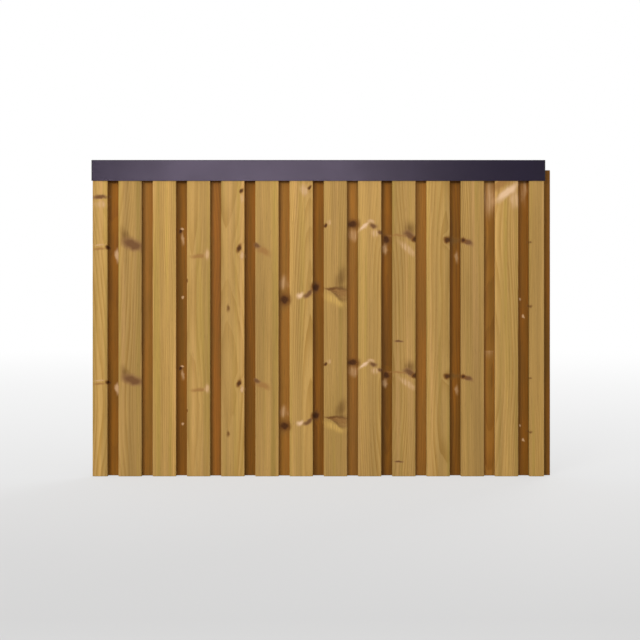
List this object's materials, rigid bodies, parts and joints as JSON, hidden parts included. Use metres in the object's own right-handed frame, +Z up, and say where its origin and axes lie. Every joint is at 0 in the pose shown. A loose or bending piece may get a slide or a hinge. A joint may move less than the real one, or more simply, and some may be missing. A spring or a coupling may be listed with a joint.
{
  "type": "wooden fence panel",
  "caption": "Fence panel of vertical tongue-and-groove pine boards with raised blocks and shadow gaps, screwed to rear rails under a dark hollow metal cap, with a lap tongue along one edge.",
  "frame": {"origin": "middle of the panel's box, on the ground under the boards", "axes": "+X along the panel to the right as seen from the front, +Y from the front to the back, +Z up"},
  "size_m": [0.9164, 0.0578, 0.63],
  "materials": {
    "treated_pine": "planed, pressure treated honey brown",
    "rail_pine": "sawn, pressure treated honey brown",
    "cap_coating": "satin powder coat over extruded aluminium",
    "plug_plastic": "fine matte moulding texture",
    "zinc_plated_steel": "yellow zinc plate",
    "stainless_steel": "plain stainless"
  },
  "bodies": {
    "root": {"board_1": "treated_pine", "board_2": "treated_pine", "board_3": "treated_pine", "board_4": "treated_pine", "board_5": "treated_pine", "board_6": "treated_pine", "board_7": "treated_pine", "top_cap": "cap_coating", "cap_plug_left": "plug_plastic", "cap_plug_right": "plug_plastic", "upper_rail": "rail_pine", "lower_rail": "rail_pine", "rail_screws": "zinc_plated_steel", "cap_screws": "stainless_steel"}
  },
  "joints": []
}
